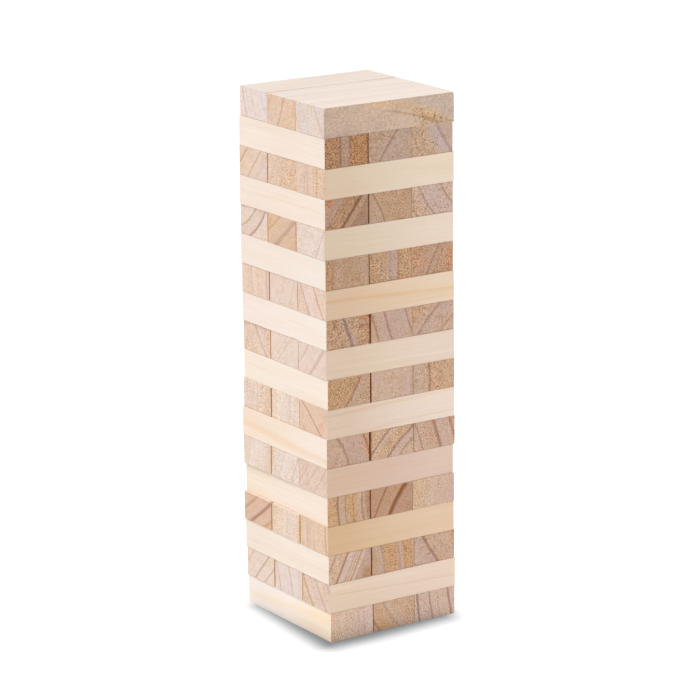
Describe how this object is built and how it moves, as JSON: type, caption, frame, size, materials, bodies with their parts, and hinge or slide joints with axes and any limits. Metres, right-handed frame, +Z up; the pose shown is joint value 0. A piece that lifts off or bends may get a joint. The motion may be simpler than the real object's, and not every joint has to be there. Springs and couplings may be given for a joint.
{
  "type": "giant tumbling tower",
  "caption": "Tall square game tower of loose plain wooden blocks laid side by side in layers that cross at right angles; each block can be pushed out along its length",
  "frame": {"origin": "on the ground, under the centre of the stack's plan outline", "axes": "+Z up; +X to the right and -Y to the front, square with the sides of the stack; the bottom layer's blocks run along Y and the top layer's along X"},
  "size_m": [0.1946, 0.1938, 0.6722],
  "materials": {
    "timber": "sawn and lightly sanded, unfinished pale softwood"
  },
  "bodies": {
    "layer01_left_block": {"layer01_left_block": "timber"},
    "layer01_middle_block": {"layer01_middle_block": "timber"},
    "layer01_right_block": {"layer01_right_block": "timber"},
    "layer02_front_block": {"layer02_front_block": "timber"},
    "layer02_middle_block": {"layer02_middle_block": "timber"},
    "layer02_back_block": {"layer02_back_block": "timber"},
    "layer03_left_block": {"layer03_left_block": "timber"},
    "layer03_middle_block": {"layer03_middle_block": "timber"},
    "layer03_right_block": {"layer03_right_block": "timber"},
    "layer04_front_block": {"layer04_front_block": "timber"},
    "layer04_middle_block": {"layer04_middle_block": "timber"},
    "layer04_back_block": {"layer04_back_block": "timber"},
    "layer05_left_block": {"layer05_left_block": "timber"},
    "layer05_middle_block": {"layer05_middle_block": "timber"},
    "layer05_right_block": {"layer05_right_block": "timber"},
    "layer06_front_block": {"layer06_front_block": "timber"},
    "layer06_middle_block": {"layer06_middle_block": "timber"},
    "layer06_back_block": {"layer06_back_block": "timber"},
    "layer07_left_block": {"layer07_left_block": "timber"},
    "layer07_middle_block": {"layer07_middle_block": "timber"},
    "layer07_right_block": {"layer07_right_block": "timber"},
    "layer08_front_block": {"layer08_front_block": "timber"},
    "layer08_middle_block": {"layer08_middle_block": "timber"},
    "layer08_back_block": {"layer08_back_block": "timber"},
    "layer09_left_block": {"layer09_left_block": "timber"},
    "layer09_middle_block": {"layer09_middle_block": "timber"},
    "layer09_right_block": {"layer09_right_block": "timber"},
    "layer10_front_block": {"layer10_front_block": "timber"},
    "layer10_middle_block": {"layer10_middle_block": "timber"},
    "layer10_back_block": {"layer10_back_block": "timber"},
    "layer11_left_block": {"layer11_left_block": "timber"},
    "layer11_middle_block": {"layer11_middle_block": "timber"},
    "layer11_right_block": {"layer11_right_block": "timber"},
    "layer12_front_block": {"layer12_front_block": "timber"},
    "layer12_middle_block": {"layer12_middle_block": "timber"},
    "layer12_back_block": {"layer12_back_block": "timber"},
    "layer13_left_block": {"layer13_left_block": "timber"},
    "layer13_middle_block": {"layer13_middle_block": "timber"},
    "layer13_right_block": {"layer13_right_block": "timber"},
    "layer14_front_block": {"layer14_front_block": "timber"},
    "layer14_middle_block": {"layer14_middle_block": "timber"},
    "layer14_back_block": {"layer14_back_block": "timber"},
    "layer15_left_block": {"layer15_left_block": "timber"},
    "layer15_middle_block": {"layer15_middle_block": "timber"},
    "layer15_right_block": {"layer15_right_block": "timber"},
    "layer16_front_block": {"layer16_front_block": "timber"},
    "layer16_middle_block": {"layer16_middle_block": "timber"},
    "layer16_back_block": {"layer16_back_block": "timber"},
    "layer17_left_block": {"layer17_left_block": "timber"},
    "layer17_middle_block": {"layer17_middle_block": "timber"},
    "layer17_right_block": {"layer17_right_block": "timber"},
    "layer18_front_block": {"layer18_front_block": "timber"},
    "layer18_middle_block": {"layer18_middle_block": "timber"},
    "layer18_back_block": {"layer18_back_block": "timber"}
  },
  "joints": [
    {"name": "layer01_left_slide", "type": "slide", "parent": "layer01_middle_block", "child": "layer01_left_block", "axis": [-0.0049, 1, 0], "range_m": [-0.2, 0.2]},
    {"name": "layer01_right_slide", "type": "slide", "parent": "layer01_middle_block", "child": "layer01_right_block", "axis": [-0.0049, 1, 0], "range_m": [-0.2, 0.2]},
    {"name": "layer02_front_slide", "type": "slide", "parent": "layer01_middle_block", "child": "layer02_front_block", "axis": [1, 0.0056, 0], "range_m": [-0.2, 0.2]},
    {"name": "layer02_middle_slide", "type": "slide", "parent": "layer01_middle_block", "child": "layer02_middle_block", "axis": [1, 0.0056, 0], "range_m": [-0.2, 0.2]},
    {"name": "layer02_back_slide", "type": "slide", "parent": "layer01_middle_block", "child": "layer02_back_block", "axis": [1, 0.0056, 0], "range_m": [-0.2, 0.2]},
    {"name": "layer03_left_slide", "type": "slide", "parent": "layer01_middle_block", "child": "layer03_left_block", "axis": [-0.0073, 1, 0], "range_m": [-0.2, 0.2]},
    {"name": "layer03_middle_slide", "type": "slide", "parent": "layer01_middle_block", "child": "layer03_middle_block", "axis": [-0.0073, 1, 0], "range_m": [-0.2, 0.2]},
    {"name": "layer03_right_slide", "type": "slide", "parent": "layer01_middle_block", "child": "layer03_right_block", "axis": [-0.0073, 1, 0], "range_m": [-0.2, 0.2]},
    {"name": "layer04_front_slide", "type": "slide", "parent": "layer01_middle_block", "child": "layer04_front_block", "axis": [1, 0.0047, 0], "range_m": [-0.2, 0.2]},
    {"name": "layer04_middle_slide", "type": "slide", "parent": "layer01_middle_block", "child": "layer04_middle_block", "axis": [1, 0.0047, 0], "range_m": [-0.2, 0.2]},
    {"name": "layer04_back_slide", "type": "slide", "parent": "layer01_middle_block", "child": "layer04_back_block", "axis": [1, 0.0047, 0], "range_m": [-0.2, 0.2]},
    {"name": "layer05_left_slide", "type": "slide", "parent": "layer01_middle_block", "child": "layer05_left_block", "axis": [0.0066, 1, 0], "range_m": [-0.2, 0.2]},
    {"name": "layer05_middle_slide", "type": "slide", "parent": "layer01_middle_block", "child": "layer05_middle_block", "axis": [0.0066, 1, 0], "range_m": [-0.2, 0.2]},
    {"name": "layer05_right_slide", "type": "slide", "parent": "layer01_middle_block", "child": "layer05_right_block", "axis": [0.0066, 1, 0], "range_m": [-0.2, 0.2]},
    {"name": "layer06_front_slide", "type": "slide", "parent": "layer01_middle_block", "child": "layer06_front_block", "axis": [1, 0.0099, 0], "range_m": [-0.2, 0.2]},
    {"name": "layer06_middle_slide", "type": "slide", "parent": "layer01_middle_block", "child": "layer06_middle_block", "axis": [1, 0.0099, 0], "range_m": [-0.2, 0.2]},
    {"name": "layer06_back_slide", "type": "slide", "parent": "layer01_middle_block", "child": "layer06_back_block", "axis": [1, 0.0099, 0], "range_m": [-0.2, 0.2]},
    {"name": "layer07_left_slide", "type": "slide", "parent": "layer01_middle_block", "child": "layer07_left_block", "axis": [-0.0119, 0.9999, 0], "range_m": [-0.2, 0.2]},
    {"name": "layer07_middle_slide", "type": "slide", "parent": "layer01_middle_block", "child": "layer07_middle_block", "axis": [-0.0119, 0.9999, 0], "range_m": [-0.2, 0.2]},
    {"name": "layer07_right_slide", "type": "slide", "parent": "layer01_middle_block", "child": "layer07_right_block", "axis": [-0.0119, 0.9999, 0], "range_m": [-0.2, 0.2]},
    {"name": "layer08_front_slide", "type": "slide", "parent": "layer01_middle_block", "child": "layer08_front_block", "axis": [1, 0.0079, 0], "range_m": [-0.2, 0.2]},
    {"name": "layer08_middle_slide", "type": "slide", "parent": "layer01_middle_block", "child": "layer08_middle_block", "axis": [1, 0.0079, 0], "range_m": [-0.2, 0.2]},
    {"name": "layer08_back_slide", "type": "slide", "parent": "layer01_middle_block", "child": "layer08_back_block", "axis": [1, 0.0079, 0], "range_m": [-0.2, 0.2]},
    {"name": "layer09_left_slide", "type": "slide", "parent": "layer01_middle_block", "child": "layer09_left_block", "axis": [-0.0066, 1, 0], "range_m": [-0.2, 0.2]},
    {"name": "layer09_middle_slide", "type": "slide", "parent": "layer01_middle_block", "child": "layer09_middle_block", "axis": [-0.0066, 1, 0], "range_m": [-0.2, 0.2]},
    {"name": "layer09_right_slide", "type": "slide", "parent": "layer01_middle_block", "child": "layer09_right_block", "axis": [-0.0066, 1, 0], "range_m": [-0.2, 0.2]},
    {"name": "layer10_front_slide", "type": "slide", "parent": "layer01_middle_block", "child": "layer10_front_block", "axis": [1, -0.0016, 0], "range_m": [-0.2, 0.2]},
    {"name": "layer10_middle_slide", "type": "slide", "parent": "layer01_middle_block", "child": "layer10_middle_block", "axis": [1, -0.0016, 0], "range_m": [-0.2, 0.2]},
    {"name": "layer10_back_slide", "type": "slide", "parent": "layer01_middle_block", "child": "layer10_back_block", "axis": [1, -0.0016, 0], "range_m": [-0.2, 0.2]},
    {"name": "layer11_left_slide", "type": "slide", "parent": "layer01_middle_block", "child": "layer11_left_block", "axis": [-0.0051, 1, 0], "range_m": [-0.2, 0.2]},
    {"name": "layer11_middle_slide", "type": "slide", "parent": "layer01_middle_block", "child": "layer11_middle_block", "axis": [-0.0051, 1, 0], "range_m": [-0.2, 0.2]},
    {"name": "layer11_right_slide", "type": "slide", "parent": "layer01_middle_block", "child": "layer11_right_block", "axis": [-0.0051, 1, 0], "range_m": [-0.2, 0.2]},
    {"name": "layer12_front_slide", "type": "slide", "parent": "layer01_middle_block", "child": "layer12_front_block", "axis": [1, 0.0051, 0], "range_m": [-0.2, 0.2]},
    {"name": "layer12_middle_slide", "type": "slide", "parent": "layer01_middle_block", "child": "layer12_middle_block", "axis": [1, 0.0051, 0], "range_m": [-0.2, 0.2]},
    {"name": "layer12_back_slide", "type": "slide", "parent": "layer01_middle_block", "child": "layer12_back_block", "axis": [1, 0.0051, 0], "range_m": [-0.2, 0.2]},
    {"name": "layer13_left_slide", "type": "slide", "parent": "layer01_middle_block", "child": "layer13_left_block", "axis": [-0.0086, 1, 0], "range_m": [-0.2, 0.2]},
    {"name": "layer13_middle_slide", "type": "slide", "parent": "layer01_middle_block", "child": "layer13_middle_block", "axis": [-0.0086, 1, 0], "range_m": [-0.2, 0.2]},
    {"name": "layer13_right_slide", "type": "slide", "parent": "layer01_middle_block", "child": "layer13_right_block", "axis": [-0.0086, 1, 0], "range_m": [-0.2, 0.2]},
    {"name": "layer14_front_slide", "type": "slide", "parent": "layer01_middle_block", "child": "layer14_front_block", "axis": [1, 0.0016, 0], "range_m": [-0.2, 0.2]},
    {"name": "layer14_middle_slide", "type": "slide", "parent": "layer01_middle_block", "child": "layer14_middle_block", "axis": [1, 0.0016, 0], "range_m": [-0.2, 0.2]},
    {"name": "layer14_back_slide", "type": "slide", "parent": "layer01_middle_block", "child": "layer14_back_block", "axis": [1, 0.0016, 0], "range_m": [-0.2, 0.2]},
    {"name": "layer15_left_slide", "type": "slide", "parent": "layer01_middle_block", "child": "layer15_left_block", "axis": [-0.0112, 0.9999, 0], "range_m": [-0.2, 0.2]},
    {"name": "layer15_middle_slide", "type": "slide", "parent": "layer01_middle_block", "child": "layer15_middle_block", "axis": [-0.0112, 0.9999, 0], "range_m": [-0.2, 0.2]},
    {"name": "layer15_right_slide", "type": "slide", "parent": "layer01_middle_block", "child": "layer15_right_block", "axis": [-0.0112, 0.9999, 0], "range_m": [-0.2, 0.2]},
    {"name": "layer16_front_slide", "type": "slide", "parent": "layer01_middle_block", "child": "layer16_front_block", "axis": [0.9999, 0.0113, 0], "range_m": [-0.2, 0.2]},
    {"name": "layer16_middle_slide", "type": "slide", "parent": "layer01_middle_block", "child": "layer16_middle_block", "axis": [0.9999, 0.0113, 0], "range_m": [-0.2, 0.2]},
    {"name": "layer16_back_slide", "type": "slide", "parent": "layer01_middle_block", "child": "layer16_back_block", "axis": [0.9999, 0.0113, 0], "range_m": [-0.2, 0.2]},
    {"name": "layer17_left_slide", "type": "slide", "parent": "layer01_middle_block", "child": "layer17_left_block", "axis": [-0.0101, 0.9999, 0], "range_m": [-0.2, 0.2]},
    {"name": "layer17_middle_slide", "type": "slide", "parent": "layer01_middle_block", "child": "layer17_middle_block", "axis": [-0.0101, 0.9999, 0], "range_m": [-0.2, 0.2]},
    {"name": "layer17_right_slide", "type": "slide", "parent": "layer01_middle_block", "child": "layer17_right_block", "axis": [-0.0101, 0.9999, 0], "range_m": [-0.2, 0.2]},
    {"name": "layer18_front_lift", "type": "slide", "parent": "layer01_middle_block", "child": "layer18_front_block", "axis": [0, 0, 1], "range_m": [0, 0.06]},
    {"name": "layer18_middle_lift", "type": "slide", "parent": "layer01_middle_block", "child": "layer18_middle_block", "axis": [0, 0, 1], "range_m": [0, 0.06]},
    {"name": "layer18_back_lift", "type": "slide", "parent": "layer01_middle_block", "child": "layer18_back_block", "axis": [0, 0, 1], "range_m": [0, 0.06]}
  ]
}
